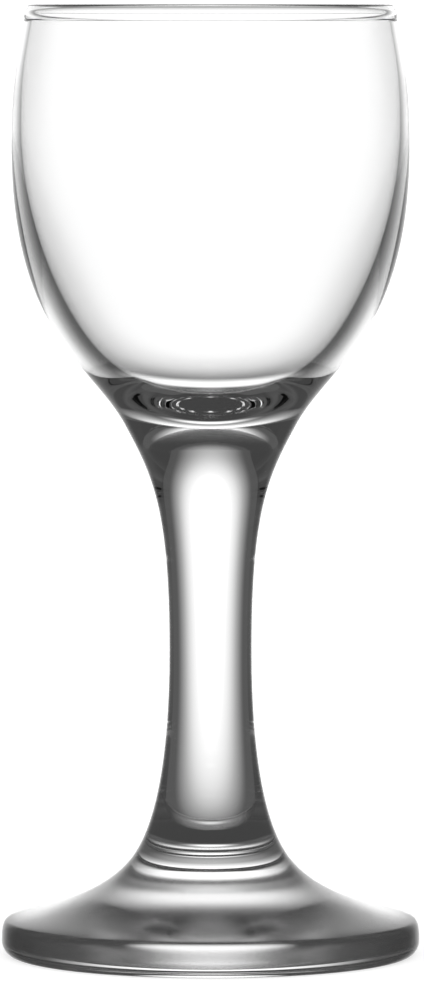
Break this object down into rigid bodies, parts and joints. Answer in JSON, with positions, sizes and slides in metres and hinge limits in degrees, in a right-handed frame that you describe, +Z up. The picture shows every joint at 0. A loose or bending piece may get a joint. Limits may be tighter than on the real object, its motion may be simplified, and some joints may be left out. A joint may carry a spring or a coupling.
{
  "type": "sherry glass",
  "caption": "Small stemmed drinking glass with a rolled rim bead, a belly narrowing to the rim, a heavy base, a waisted solid stem and a flared disc foot.",
  "frame": {"origin": "centre of the ring on which the foot stands", "axes": "+Z up along the glass's axis of revolution, from the foot to the rim; X and Y are level and alike"},
  "size_m": [0.0476, 0.0476, 0.108],
  "materials": {
    "clear_glass": "fire polished"
  },
  "bodies": {
    "root": {"foot": "clear_glass", "stem": "clear_glass", "bowl": "clear_glass"}
  },
  "joints": []
}
